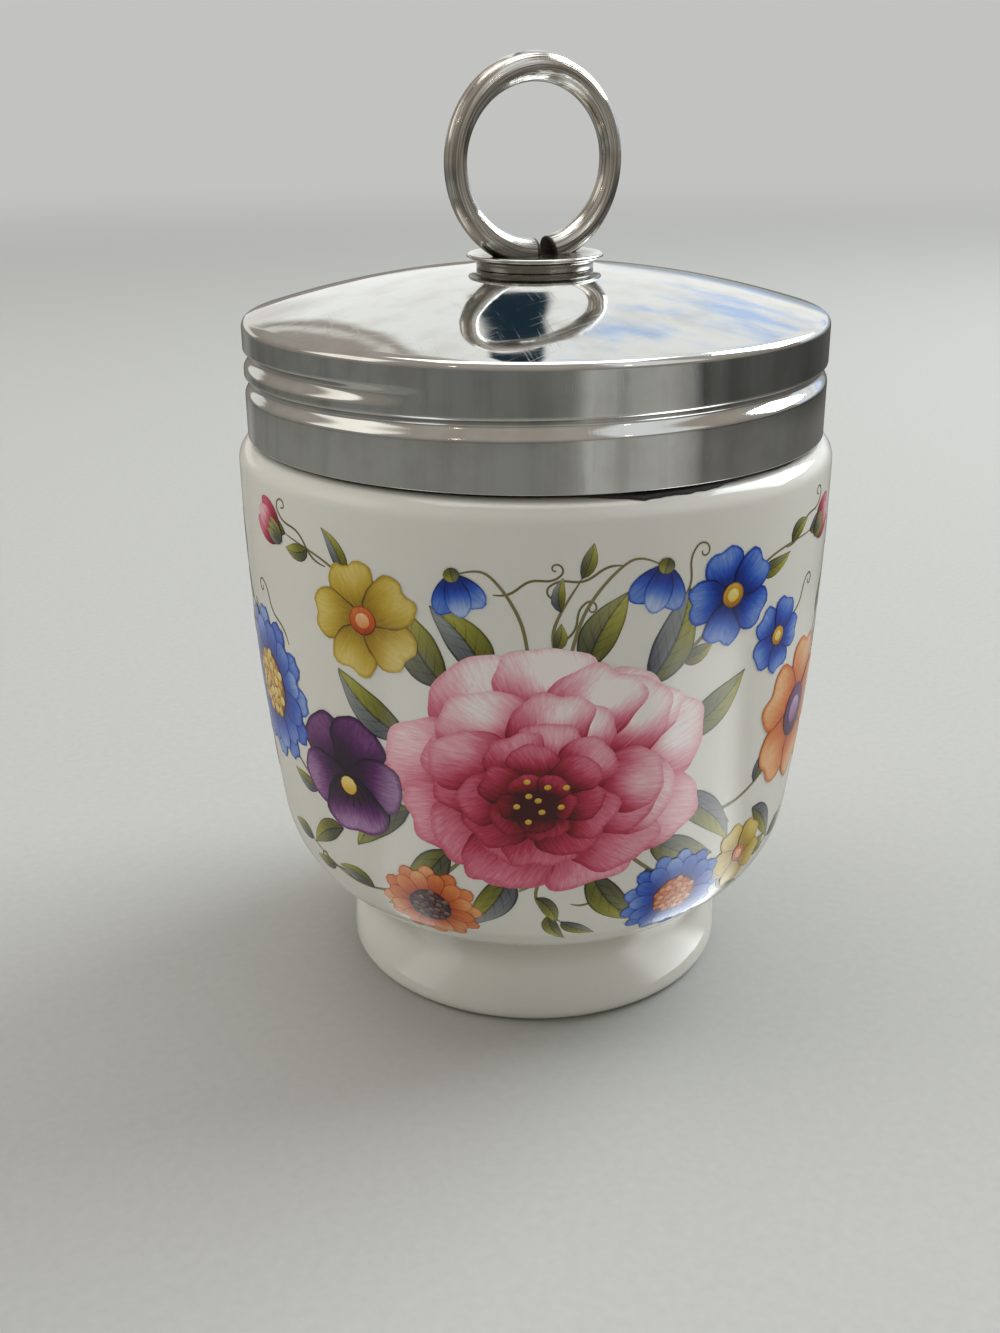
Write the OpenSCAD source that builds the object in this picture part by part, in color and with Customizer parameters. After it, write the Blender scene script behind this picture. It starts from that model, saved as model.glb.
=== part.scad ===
// Porcelain egg coddler with a screw-on metal lid and a lifting ring.
// Millimetres, +Z up. The origin is on the surface it stands on, under the centre of the foot.
// The lifting ring lies in the XZ plane, and its finger hole looks along Y.

/* [Cup] */
// Largest radius of the porcelain wall, just under the shoulder
wall_r = 31.3; // [28:0.1:36]
// Height of the shoulder, the flat ledge that the seal lies on
shoulder_z = 61.0; // [50:0.5:75]
// Radius of the rounding between wall and shoulder
shoulder_round = 2.2; // [1:0.1:3]
// Radius of the long arc that draws the wall in towards the bowl
wall_sweep_r = 300; // [200:10:500]
// Radius of the bowl's turn seen in section
bowl_r = 13; // [10:0.5:16]
// How much tighter the inside turns from wall to floor than the bowl outside
corner_step = 2.0; // [1:0.1:4]
// Thickness of the floor in the middle
floor_t = 4.7; // [3:0.1:6]

/* [Foot] */
// How far the foot ring lies inside the widest line of the wall
foot_set_in = 9.85; // [8:0.05:12]
// How far the foot's neck lies inside the foot ring
foot_drop = 0.8; // [0.4:0.05:1.5]
// Height of the foot's neck
foot_neck_z = 7.9; // [6:0.1:9]
// Height of the steep waist between the foot's neck and the bowl
foot_waist = 1.8; // [0.8:0.1:3]
// Rounding at the lower edge of the foot
foot_round = 1.5; // [0.5:0.1:2]
// Width of the ring that the cup stands on, its rounding included
ground_w = 3.25; // [2.5:0.05:4]
// Depth of the recess under the cup
recess_h = 5.8; // [4:0.1:7]

/* [Neck] */
// Width of the shoulder, from the wall's widest line in to the neck
shoulder_w = 2.8; // [2:0.05:4]
// Thickness of the neck's wall, which sets the bore
neck_wall = 3.1; // [2.5:0.05:4]
// Height of the neck over the shoulder
neck_h = 9.9; // [8:0.1:12]

/* [Thread] */
// Rise of the thread in one turn
pitch = 2.6; // [2:0.1:4]
// How far the lid thread's deepest line lies under the neck's rim, straight along +X
thread_down = 5.1; // [4:0.05:6]
// Height of the neck's thread over the neck
thread_h = 0.8; // [0.6:0.05:1]
// Room between the crest of the neck's thread and the inside of the skirt
crest_gap = 0.45; // [0.3:0.05:0.7]
// How far the two threads reach behind each other
thread_hold = 0.2; // [0.1:0.05:0.3]
// Turns of the thread rolled into the lid
lid_turns = 1.25; // [1:0.05:1.5]
// Direction where the lid's thread begins, in degrees from +X
lid_thread_start = 131; // [0:1:360]
// How far the neck's thread lies above the lid's, as a share of the rise
thread_share = 0.48; // [0.44:0.01:0.52]
// Turns of the neck's thread
neck_turns = 1.15; // [1:0.05:1.3]
// Direction where the neck's thread begins, in degrees from +X
neck_thread_start = -75; // [-180:1:180]

/* [Seal] */
// How far the rubber ring stays inside the outside of the skirt
seal_in = 0.1; // [0:0.05:0.6]
// Thickness of the rubber ring
seal_h = 0.4; // [0.3:0.05:1.5]

/* [Lid] */
// Thickness of the lid's sheet
sheet_t = 0.45; // [0.3:0.05:0.7]
// Height from the neck's rim to where the skirt's side turns into the dome's edge
rim_room = 1.45; // [1:0.05:3]
// Rounding of the dome's edge
edge_round = 0.8; // [0.5:0.05:1.5]
// Rise of the dome from there to the flat land in its middle
dome_rise = 5.05; // [3:0.05:7]
// How far the flat land reaches past the collar
land_edge = 0.3; // [0.1:0.1:1]

/* [Collar and ring] */
// Radius of the collar
collar_r = 7.0; // [5:0.1:9]
// Height of the collar
collar_h = 1.5; // [1.2:0.05:3]
// Thickness of the flange round the collar's top
flange_t = 0.5; // [0.3:0.05:1]
// How far the flange reaches out over the collar's neck
flange_out = 1.0; // [0.4:0.05:1.5]
// Thickness of the ring's wire
wire_d = 2.85; // [2:0.05:4]
// Radius of the ring, measured at the middle of the wire
ring_r = 8.85; // [7:0.01:12]
// Height of the ring's lowest point over the land
ring_lift = 0.1; // [0.05:0.05:0.6]
// Angle of the gap between the wire's two ends
ring_gap = 14; // [2:1:20]
// Angle by which the gap's middle lies away from straight down
ring_gap_turn = 7; // [-10:1:10]
// Radius of the collar's stem
stem_r = 2.0; // [1.5:0.1:3]
// How far the stem's spread end reaches past the stem
head_step = 0.9; // [0.5:0.1:1.5]
// How far the washer reaches past the stem
washer_w = 3.0; // [2:0.1:5]
// Thickness of the washer
washer_t = 0.6; // [0.4:0.05:1]

/* [Hidden] */
$fn = 96;

fit_gap = 0.02;          // between faces that touch
stem_gap = 0.06;         // round the stem, in the sheet and in the washer
seal_gap = 0.1;          // between the seal and the neck
arc_step = 6;            // degrees between the points of a section's arc
turn_steps = 60;         // points of a thread in one turn
run_out = 28;            // degrees over which a thread fades at each end

// radii, each from the wall's widest line inwards or from the neck outwards
neck_r = wall_r - shoulder_w;
bore_r = neck_r - neck_wall;
neck_round = neck_wall / 2 - 0.05;
neck_crest_r = neck_r + thread_h;
inner_r = neck_crest_r + crest_gap;
skirt_r = inner_r + sheet_t;
ridge_r = neck_crest_r - thread_hold;
groove_r = ridge_r + sheet_t;
seal_r = skirt_r - seal_in;
foot_r = wall_r - foot_set_in;
foot_neck_r = foot_r - foot_drop;
foot_inner_r = foot_r - ground_w;
land_r = collar_r + land_edge;
head_r = stem_r + head_step;
washer_r = stem_r + washer_w;

// heights
dome_under = 0.5;        // rise of the recess towards the middle
floor_z = recess_h + dome_under + floor_t;
rim_z = shoulder_z + neck_h;
skirt_z = shoulder_z + seal_h + fit_gap;
edge_z = rim_z + rim_room;
land_z = edge_z + dome_rise;
lid_thread_z = rim_z - thread_down;

// points of an arc round c, from angle a0 to angle a1
function arc(c, r, a0, a1) =
    let (n = max(2, ceil(abs(a1 - a0) / arc_step)))
    [for (i = [0:n]) c + r * [cos(a0 + (a1 - a0) * i / n), sin(a0 + (a1 - a0) * i / n)]];

// ---- cup section ----
// wall: an arc with its centre level with the top of the wall
wall_top_z = shoulder_z - shoulder_round;
wall_c = [wall_r - wall_sweep_r, wall_top_z];
// bowl: an arc that leaves the wall without a corner and ends at the foot's waist, so its
// centre lies bowl_r from the waist and wall_sweep_r - bowl_r from the wall's centre
waist = [foot_neck_r + 0.25, foot_neck_z + foot_waist];
to_waist = waist - wall_c;
waist_far = norm(to_waist);
centre_far = wall_sweep_r - bowl_r;
along = (centre_far * centre_far - bowl_r * bowl_r + waist_far * waist_far) / (2 * waist_far);
aside = sqrt(centre_far * centre_far - along * along);
bowl_c = wall_c + (along * to_waist + aside * [-to_waist[1], to_waist[0]]) / waist_far;
wall_a = atan2(bowl_c[1] - wall_c[1], bowl_c[0] - wall_c[0]);
bowl_a = atan2(waist[1] - bowl_c[1], waist[0] - bowl_c[0]);
// foot: an arc that leans in from its widest line to the neck
foot_rise = foot_neck_z - foot_round;
foot_sweep_r = (foot_rise * foot_rise + foot_drop * foot_drop) / (2 * foot_drop);
foot_c = [foot_r - foot_sweep_r, foot_round];
foot_a = asin(foot_rise / foot_sweep_r);
recess_round = 1.6;
recess_r = foot_inner_r - 0.9;
floor_round = bowl_r - corner_step;
floor_c = [bore_r - floor_round - 0.4, floor_z + floor_round];

function reverse(v) = [for (i = [len(v) - 1:-1:0]) v[i]];

cup_section = concat(
    [[0, recess_h + dome_under]],
    reverse(arc([recess_r - recess_round, recess_h - recess_round], recess_round, 0, 90)),
    [[recess_r + 0.3, 0.9], [foot_inner_r, 0]],
    arc([foot_r - foot_round, foot_round], foot_round, -90, 0),
    [for (i = [1:5]) foot_c + foot_sweep_r * [cos(foot_a * i / 5), sin(foot_a * i / 5)]],
    arc(bowl_c, bowl_r, bowl_a, wall_a),
    [for (i = [1:8]) wall_c + wall_sweep_r * [cos(wall_a * (1 - i / 8)), sin(wall_a * (1 - i / 8))]],
    arc([wall_r - shoulder_round, wall_top_z], shoulder_round, arc_step, 90),
    [[neck_r, shoulder_z]],
    arc([neck_r - neck_round, rim_z - neck_round], neck_round, 0, 90),
    arc([bore_r + neck_round, rim_z - neck_round], neck_round, 90, 180),
    arc(floor_c, floor_round, 0, -90),
    [[0, floor_z]]
);

// ---- threads ----
// A thread is a section carried round the axis. Each section point is [radius, height].
// low_r is where the section hides at the faded ends.
function fade(a, a0, a1) =
    let (s = max(0.12, min(1, (a - a0) / run_out, (a1 - a) / run_out)))
    s * s * (3 - 2 * s);

function thread_points(section, low_r, a0, turns, z0) =
    let (n = round(turns * turn_steps))
    [for (i = [0:n]) let (a = a0 + turns * 360 * i / n, k = fade(a, a0, a0 + turns * 360))
        for (p = section)
            let (r = low_r + (p[0] - low_r) * (p[0] == section[0][0] ? 1 : k))
            [r * cos(a), r * sin(a), z0 + pitch * a / 360 + p[1]]];

function thread_faces(m, n) = concat(
    [[for (j = [m - 1:-1:0]) j]],
    [for (i = [0:n - 1]) for (j = [0:m - 1])
        let (k = (j + 1) % m)
        for (t = [0, 1])
            t == 0 ? [i * m + j, i * m + k, (i + 1) * m + j]
                   : [i * m + k, (i + 1) * m + k, (i + 1) * m + j]],
    [[for (j = [0:m - 1]) n * m + j]]
);

module thread(section, low_r, a0, turns, z0) {
    n = round(turns * turn_steps);
    polyhedron(thread_points(section, low_r, a0, turns, z0), thread_faces(len(section), n), convexity = 8);
}

// sections run anticlockwise, looked at with the radius to the right, and share out the rise
u = pitch / 26;
neck_base_r = neck_r - 0.7;
neck_thread = [[neck_base_r, -7.5 * u], [neck_r + 0.1, -6 * u], [neck_crest_r, -2.6 * u],
    [neck_crest_r, 2.6 * u], [neck_r + 0.1, 6 * u], [neck_base_r, 7.5 * u]];

hollow_out_r = skirt_r + 0.5;
// the groove seen from outside: short and steep above, long and easy below
groove_section = [[hollow_out_r, 6 * u], [skirt_r + 0.02, 4.8 * u], [groove_r + 0.1, 1.4 * u],
    [groove_r, -u], [groove_r + 0.12, -4.5 * u], [skirt_r + 0.02, -14 * u], [hollow_out_r, -16 * u]];
ridge_out_r = inner_r + sheet_t * 0.55;
ridge_section = [[ridge_out_r, 8.6 * u], [inner_r - 0.02, 7.8 * u], [ridge_r + 0.1, 3.8 * u],
    [ridge_r, u], [ridge_r, -3 * u], [ridge_r + 0.12, -7 * u], [inner_r - 0.02, -16 * u],
    [ridge_out_r, -16.8 * u]];

module cup() {
    color("white") union() {
        rotate_extrude() polygon(cup_section);
        thread(neck_thread, neck_base_r, neck_thread_start, neck_turns,
            lid_thread_z + thread_share * pitch);
    }
}

module seal() {
    color([0.08, 0.08, 0.08]) translate([0, 0, shoulder_z])
        difference() {
            cylinder(r = seal_r, h = seal_h);
            translate([0, 0, -1]) cylinder(r = neck_r + seal_gap, h = seal_h + 2);
        }
}

// ---- lid section ----
edge_c = [skirt_r - edge_round, edge_z];
// the dome is a ball's cap that passes the land's rim and meets the edge's rounding
dome_drop = land_z - (edge_z + edge_round * 0.96);
dome_far = edge_c[0] + edge_round * 0.27;
dome_r = ((dome_far * dome_far - land_r * land_r) / dome_drop + dome_drop) / 2;
dome_h = land_z - sqrt(dome_r * dome_r - land_r * land_r);

function cap_z(r, t) = dome_h + sqrt((dome_r - t) * (dome_r - t) - r * r);
cap_steps = 9;
far_in = dome_far - 0.35 * sheet_t;

lid_outer = concat(
    [[skirt_r, skirt_z]],
    arc(edge_c, edge_round, 0, 66),
    [for (i = [0:cap_steps]) let (r = dome_far + (land_r - dome_far) * i / cap_steps) [r, cap_z(r, 0)]],
    [[0, land_z]]
);
lid_inner = concat(
    [[0, land_z - sheet_t]],
    [for (i = [cap_steps:-1:0]) let (r = far_in + (land_r - far_in) * i / cap_steps) [r, cap_z(r, sheet_t)]],
    arc(edge_c, edge_round - sheet_t, 58, 0),
    [[inner_r, skirt_z]]
);

module lid_shell() {
    color([0.8, 0.8, 0.8]) difference() {
        union() {
            rotate_extrude() polygon(concat(lid_outer, lid_inner));
            thread(ridge_section, ridge_out_r, lid_thread_start, lid_turns, lid_thread_z);
        }
        thread(groove_section, hollow_out_r, lid_thread_start, lid_turns, lid_thread_z);
        translate([0, 0, land_z - 2]) cylinder(r = stem_r + stem_gap, h = 4);
    }
}

// ---- collar, ring, washer ----
collar_z = land_z + fit_gap;
ring_z = land_z + ring_lift + wire_d / 2 + ring_r;
collar_round = 0.4;      // rounding between the collar's neck and its flange
head_h = 0.6;            // height of the stem's spread end
washer_z = land_z - sheet_t - fit_gap - washer_t;
head_z = washer_z - fit_gap - head_h;

module wire(extra) {
    translate([0, 0, ring_z]) rotate([90, 0, 0])
        rotate_extrude() translate([ring_r, 0]) circle(d = wire_d + 2 * extra);
}

module collar() {
    color([0.75, 0.75, 0.75]) difference() {
        union() {
            rotate_extrude() difference() {
                translate([0, collar_z]) square([collar_r, collar_h]);
                hull() for (x = [collar_round, flange_out + 1], z = [-1, collar_h - flange_t - collar_round])
                    translate([collar_r - flange_out + x, collar_z + z]) circle(r = collar_round);
            }
            translate([0, 0, head_z]) cylinder(r = stem_r, h = collar_z + 0.2 - head_z);
            translate([0, 0, head_z]) cylinder(r = head_r, h = head_h);
        }
        wire(fit_gap);
    }
}

module lifting_ring() {
    gap_a = -90 + ring_gap_turn;
    color([0.8, 0.8, 0.8]) translate([0, 0, ring_z]) rotate([90, 0, 0])
        rotate([0, 0, gap_a + ring_gap / 2])
            rotate_extrude(angle = 360 - ring_gap) translate([ring_r, 0]) circle(d = wire_d);
}

module washer() {
    color([0.7, 0.7, 0.65]) translate([0, 0, washer_z])
        difference() {
            cylinder(r = washer_r, h = washer_t);
            translate([0, 0, -1]) cylinder(r = stem_r + stem_gap, h = washer_t + 2);
        }
}

cup();
seal();
lid_shell();
collar();
lifting_ring();
washer();
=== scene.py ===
# %% [markdown]
# # A porcelain egg coddler, dressed for its picture
#
# An egg coddler is a small china pot with a screw-on metal lid. An egg is broken into it, the lid
# is screwed down, and the pot stands in hot water until the egg is done. The ring on the lid is for
# lifting it out.
#
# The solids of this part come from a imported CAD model, which fixes every size and every joint.
# This lesson loads them as a frame and builds the looks round them: a studio, the finishes, a
# smoothly turned pot and lid, and the flowers that are fired on the glaze.

# %% Load the CAD frame
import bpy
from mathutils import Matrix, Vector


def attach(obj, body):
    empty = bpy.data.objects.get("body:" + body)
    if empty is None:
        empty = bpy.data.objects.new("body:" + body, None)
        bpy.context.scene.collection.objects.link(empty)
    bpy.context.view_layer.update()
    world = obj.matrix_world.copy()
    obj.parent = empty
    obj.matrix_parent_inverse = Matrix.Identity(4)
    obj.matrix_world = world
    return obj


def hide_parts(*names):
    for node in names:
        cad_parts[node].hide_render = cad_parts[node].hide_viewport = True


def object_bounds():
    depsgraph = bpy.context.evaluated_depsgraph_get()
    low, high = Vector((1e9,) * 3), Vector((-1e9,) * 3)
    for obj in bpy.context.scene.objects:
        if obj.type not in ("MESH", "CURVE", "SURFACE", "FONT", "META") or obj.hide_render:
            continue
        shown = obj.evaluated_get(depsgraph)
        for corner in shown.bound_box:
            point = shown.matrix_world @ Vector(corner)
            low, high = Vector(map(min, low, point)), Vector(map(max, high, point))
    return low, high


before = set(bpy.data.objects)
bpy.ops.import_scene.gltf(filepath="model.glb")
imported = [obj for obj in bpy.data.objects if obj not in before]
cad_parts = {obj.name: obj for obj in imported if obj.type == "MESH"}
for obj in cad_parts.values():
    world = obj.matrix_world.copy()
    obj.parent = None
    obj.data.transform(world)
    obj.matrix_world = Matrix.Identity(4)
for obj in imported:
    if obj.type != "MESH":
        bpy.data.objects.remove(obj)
cad_box = [list(corner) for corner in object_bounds()]

# %% Units and tools
import math

import bmesh
import bpy
import numpy as np
from mathutils import Matrix, Vector, noise

MM = 0.001
scene = bpy.context.scene
size_mm = [(b - a) / MM for a, b in zip(*cad_box)]
print("the CAD model is", " x ".join(f"{side:.1f}" for side in size_mm), "mm")

# %% [markdown]
# ## The camera
#
# The picture was taken from a hand's height over the pot, looking down at about 22 degrees. The
# camera comes first, because every later choice is judged through it. Its place and its lens were
# worked out from the ellipses that the round rims make in the picture: nearer rims look rounder,
# and how fast that changes with height gives the distance.

# %% Camera
camera_at = Vector((-81.415, -136.049, 96.343)) * MM
look = Vector((0.45753, 0.80869, -0.36971)).normalized()
to_right = Vector((0.86902, -0.49472, -0.00668)).normalized()
lens = bpy.data.cameras.new("camera")
lens.sensor_width = 36
lens.lens = 40.545
lens.clip_start = 0.01
camera = bpy.data.objects.new("camera", lens)
camera.matrix_world = Matrix.Translation(camera_at) @ Matrix(
    (to_right, to_right.cross(look), -look)).transposed().to_4x4()
scene.collection.objects.link(camera)
scene.camera = camera

front = math.degrees(math.atan2(-look.y, -look.x))
print(f"the camera stands at azimuth {front:.1f} degrees,",
      f"{camera_at.length / MM:.0f} mm from the origin")


# %% [markdown]
# ## Small helpers
#
# Two things are done for every piece. `show` turns a finished bmesh into an object that sits at the
# origin with its place in its mesh, as the CAD nodes do. `turned` makes round things the way a
# potter or a spinner does: one section line, carried once round the axis.

# %% Turn a section into a round body
def show(name, bm, finish):
    """Makes an object of a bmesh, smooth shaded, and frees the bmesh."""
    mesh = bpy.data.meshes.new(name)
    bm.to_mesh(mesh)
    bm.free()
    mesh.polygons.foreach_set("use_smooth", [True] * len(mesh.polygons))
    mesh.materials.append(finish.material)
    made = bpy.data.objects.new(name, mesh)
    scene.collection.objects.link(made)
    print(name, "has", len(mesh.polygons), "faces")
    return made


def arc(centre, radius, start, end, step):
    """Points on an arc in (radius, height), from angle start to angle end, a step apart, in
    degrees."""
    count = max(2, math.ceil(abs(end - start) / step))
    angles = [math.radians(start + (end - start) * i / count) for i in range(count + 1)]
    return [(centre[0] + radius * math.cos(a), centre[1] + radius * math.sin(a)) for a in angles]


def line(start, end, count):
    """Points on a straight line, with the start and without the end."""
    return [(start[0] + (end[0] - start[0]) * i / count, start[1] + (end[1] - start[1]) * i / count)
            for i in range(count)]


def turned(section, steps):
    """Spins a section of (radius, height) in mm once round Z, and closes seam and poles."""
    bm = bmesh.new()
    points = [bm.verts.new((r * MM, 0, z * MM)) for r, z in section]
    edges = [bm.edges.new(pair) for pair in zip(points, points[1:])]
    bmesh.ops.spin(bm, geom=points + edges, cent=(0, 0, 0), axis=(0, 0, 1),
                   angle=math.tau, steps=steps, use_merge=True)
    bmesh.ops.remove_doubles(bm, verts=bm.verts[:], dist=1e-7)
    bmesh.ops.recalc_face_normals(bm, faces=bm.faces[:])
    return bm


def smooth(low, high, value):
    """0 below low, 1 above high, and an S curve between them."""
    t = min(1.0, max(0.0, (value - low) / (high - low)))
    return t * t * (3 - 2 * t)


# %% [markdown]
# ## Shader maths as Python
#
# A finish is a net of nodes. Written out node by node it is hard to read, so a number on its way
# through the net is wrapped in a `Signal`: adding or multiplying signals adds the Math node that
# does it. Every other node comes from one method, `node`. A `Finish` is the net of one material,
# and its `feed` leads a signal into the shader.

# %% Signals and finishes
class Signal:
    """A socket's value. Python's operators on it add Math nodes."""

    def __init__(self, net, socket):
        self.net, self.socket = net, socket

    def math(self, operation, *values):
        return self.net.node("Math", {"operation": operation}, dict(enumerate(values)))

    def __add__(self, other):
        return self.math("ADD", self, other)

    def __sub__(self, other):
        return self.math("SUBTRACT", self, other)

    def __mul__(self, other):
        return self.math("MULTIPLY", self, other)

    def __truediv__(self, other):
        return self.math("DIVIDE", self, other)

    def __pow__(self, other):
        return self.math("POWER", self, other)

    def __rsub__(self, other):
        return self.math("SUBTRACT", other, self)

    __radd__, __rmul__ = __add__, __mul__


class Net:
    """A net of shader nodes that is being built."""

    def __init__(self, tree):
        self.tree = tree

    def node(self, kind, settings=None, values=None, out=0):
        """Adds a node: its settings first, then the values or signals of its sockets."""
        made = self.tree.nodes.new("ShaderNode" + kind)
        for key, value in (settings or {}).items():
            if key == "stops":
                stops = made.color_ramp.elements
                for i, (at, colour) in enumerate(value):
                    stop = stops[i] if i < 2 else stops.new(at)
                    stop.position, stop.color = at, colour
            else:
                setattr(made, key, value)
        for key, value in (values or {}).items():
            if isinstance(value, Signal):
                self.tree.links.new(value.socket, made.inputs[key])
            else:
                made.inputs[key].default_value = value
        return Signal(self, made.outputs[out])


class Finish(Net):
    """A material with its Principled shader."""

    def __init__(self, name, **constants):
        self.material = bpy.data.materials.new(name)
        self.material.use_nodes = True
        super().__init__(self.material.node_tree)
        self.shader = self.tree.nodes["Principled BSDF"]
        for socket, value in constants.items():
            self.shader.inputs[socket.replace("_", " ")].default_value = value

    def feed(self, socket, signal):
        self.tree.links.new(signal.socket, self.shader.inputs[socket])


def paint(code):
    """A colour as the screen shows it, such as "efeae0", as the shader's linear numbers."""
    parts = [int(code[i:i + 2], 16) / 255 for i in (0, 2, 4)]
    return tuple(c / 12.92 if c < 0.04045 else ((c + 0.055) / 1.055) ** 2.4 for c in parts) + (1.0,)


# %% More words for the shader
DEGREES = 57.2958  # in a radian


def place(finish):
    """The three Object coordinates as signals, in mm."""
    here = finish.node("TexCoord", out="Object")
    return [finish.node("SeparateXYZ", None, {0: here}, out=axis) * 1000 for axis in "XYZ"]


def vector(x, y, z):
    return x.net.node("CombineXYZ", None, {0: x, 1: y, 2: z})


def cloud(where, scale, detail=2.0, rough=0.5):
    """Soft noise between 0 and 1 about 0.5."""
    return where.net.node("TexNoise", None,
                          {"Vector": where, "Scale": scale, "Detail": detail, "Roughness": rough})


def between(low, high, signal):
    """0 below low, 1 above high, an S curve between. With low over high it falls instead."""
    return signal.net.node("MapRange", {"interpolation_type": "SMOOTHSTEP"},
                           {0: signal, 1: low, 2: high, 3: 0.0, 4: 1.0})


def blend(share, a, b):
    """Mixes two colours by a share from 0 to 1."""
    return share.net.node("Mix", {"data_type": "RGBA"}, {0: share, 6: a, 7: b}, out=2)


def bump(height, depth, strength):
    """Raises the surface by depth metres where height is 1."""
    values = {"Strength": strength, "Distance": depth, "Height": height}
    height.net.feed("Normal", height.net.node("Bump", None, values))


# %% [markdown]
# ## The studio
#
# The pot stands on a wide pale floor. Far from the pot the floor fades into the plain tone of the
# backdrop, so that no horizon line shows from any side. Close by it is an ordinary matt surface
# that takes the pot's shadow.

# %% Directions of the room, floor
away = Vector((look.x, look.y, 0)).normalized()
side = Vector((away.y, -away.x, 0))
BACKDROP = paint("c2c3c1")
scene.view_settings.view_transform = "Standard"

worktop = Finish("pale_worktop", Roughness=0.8, Specular_IOR_Level=0.0)
x, y, z = place(worktop)
grain = cloud(vector(x, y, z), 0.9, 3.0)
worktop.feed("Base Color", blend(grain, paint("b4b3ae"), paint("bfbeb9")))
fade_from, fade_to = 260, 1300
far_off = between(fade_from, fade_to, (x * x + y * y) ** 0.5)
plain = worktop.node("Emission", None, {"Color": BACKDROP})
lit = Signal(worktop, worktop.shader.outputs[0])
surface = worktop.node("MixShader", None, {0: far_off, 1: lit, 2: plain})
worktop.tree.links.new(surface.socket, worktop.tree.nodes["Material Output"].inputs["Surface"])

bm = bmesh.new()
bmesh.ops.create_circle(bm, cap_ends=True, segments=96, radius=5.0)
floor = show("floor", bm, worktop)

# %% [markdown]
# ### Lamps
#
# Three soft lamps light the pot: a big cool window behind it on the right, which throws the shadow
# towards the viewer's left, a smaller warm one on the left, and a dim one overhead. The left one
# isn't mirrored, because in the lid's groove its square would show as a chain of blobs.


# %% Lamps
def lamp(name, right, ahead, up, wide, tall, watts, colour=(1, 1, 1)):
    """A soft square lamp, placed in metres as the camera sees the room, turned to the pot."""
    data = bpy.data.lights.new(name, "AREA")
    data.shape, data.size, data.size_y = "RECTANGLE", wide, tall
    data.energy, data.color = watts, colour
    made = bpy.data.objects.new(name, data)
    made.location = side * right + away * ahead + Vector((0, 0, up))
    made.rotation_euler = (Vector((0, 0, 0.05)) - made.location).to_track_quat("-Z", "Y").to_euler()
    made.visible_camera = False
    scene.collection.objects.link(made)
    return made


lamp("window_right", 0.68, 0.40, 0.60, 0.62, 0.60, 7.9, (0.87, 0.95, 1.0))
left_lamp = lamp("window_left", -0.80, 0.10, 0.48, 0.6, 0.5, 2.3, (1.0, 0.98, 0.93))
left_lamp.visible_glossy = False
lamp("overhead", 0.0, 0.1, 0.95, 0.8, 0.6, 3.4)

# %% [markdown]
# ### What the chrome sees
#
# Chrome has no colour of its own: it shows what stands round it. In a room that is equally bright
# all over it would look like grey paint. A photographer of silverware therefore sets out white
# boards where the metal should shine and grey ones where it should be dark. Here the high boards
# are painted on the sky, for mirrored rays alone. For every other ray the sky is plain.


# %% Boards in the sky
def window(azimuth, height, left, right, low, high, soft, lean):
    """1 inside a rectangle of the sky, in degrees, with soft edges. It leans right by lean."""
    azimuth = azimuth - height * lean
    inside = between(left - soft, left + soft, azimuth)
    inside = inside * (1 - between(right - soft, right + soft, azimuth))
    inside = inside * between(low - soft / 2, low + soft / 2, height)
    return inside * (1 - between(high - soft, high + soft, height))


sky = bpy.data.worlds.new("sky")
scene.world = sky
sky.use_nodes = True
room = Net(sky.node_tree)
way = room.node("TexCoord", out="Generated")
dx, dy, dz = (room.node("SeparateXYZ", None, {0: way}, out=axis) for axis in "XYZ")
ahead, aside = dx * away.x + dy * away.y, dx * side.x + dy * side.y
azimuth = aside.math("ARCTAN2", aside, ahead) * DEGREES
height = dz.math("ARCSINE", dz) * DEGREES
BOARDS = [  # left, right, low, high in degrees from straight behind the pot, softness, lean, tone
    (-17.5, 62, 2, 66, 0.7, 0.16, (1.02, 1.03, 1.00)),
    (-45, -11, 3, 13, 2.0, 0.0, (0.80, 0.79, 0.75)),
    (-19.9, -18.8, 12, 60, 0.4, 0.16, (0.74, 0.72, 0.66)),
    (4, 62, -4, 4.5, 2.5, 0.0, (0.40, 0.44, 0.46)),
    (-3.4, 2.5, 23, 56, 0.5, 0.0, (0.014, 0.03, 0.045)),
    (-114, -80, 16, 46, 5.0, 0.0, (1.25, 1.20, 1.10)),
    (112, 150, 16, 60, 5.0, 0.0, (0.85, 0.87, 0.87)),
    (-180, 180, 72, 95, 5.0, 0.0, (0.80, 0.80, 0.80)),
    (-147.5, -145.0, 29, 31, 0.5, 0.0, (11.0, 8.5, 6.0)),
    (143.0, 145.5, 29, 31, 0.5, 0.0, (11.0, 8.5, 6.0)),
]
LOW_WALL, HIGH_WALL = (0.25, 0.23, 0.20, 1), (0.43, 0.39, 0.35, 1)
tone = blend(between(-10, 40, height), LOW_WALL, HIGH_WALL)
for left, right, low, high, soft, lean, shine in BOARDS:
    inside = window(azimuth, height, left, right, low, high, soft, lean)
    tone = blend(inside, tone, shine + (1.0,))
wisps = cloud(vector(azimuth * 0.09, height * 0.16, 0.0), 1.0, 4.0, 0.6)
blue = between(0.46, 0.66, wisps) * window(azimuth, height, 6, 62, -1, 60, 4.0, 0.0)
tone = blend(blue * 0.8, tone, (0.42, 0.66, 1.12, 1))
rays = {key: room.node("LightPath", out=key) for key in ("Is Glossy Ray", "Is Camera Ray")}
tone = blend(rays["Is Glossy Ray"], (0.36, 0.36, 0.355, 1), tone)
tone = blend(rays["Is Camera Ray"], tone, BACKDROP)
room.tree.links.new(tone.socket, sky.node_tree.nodes["Background"].inputs["Color"])

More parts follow.
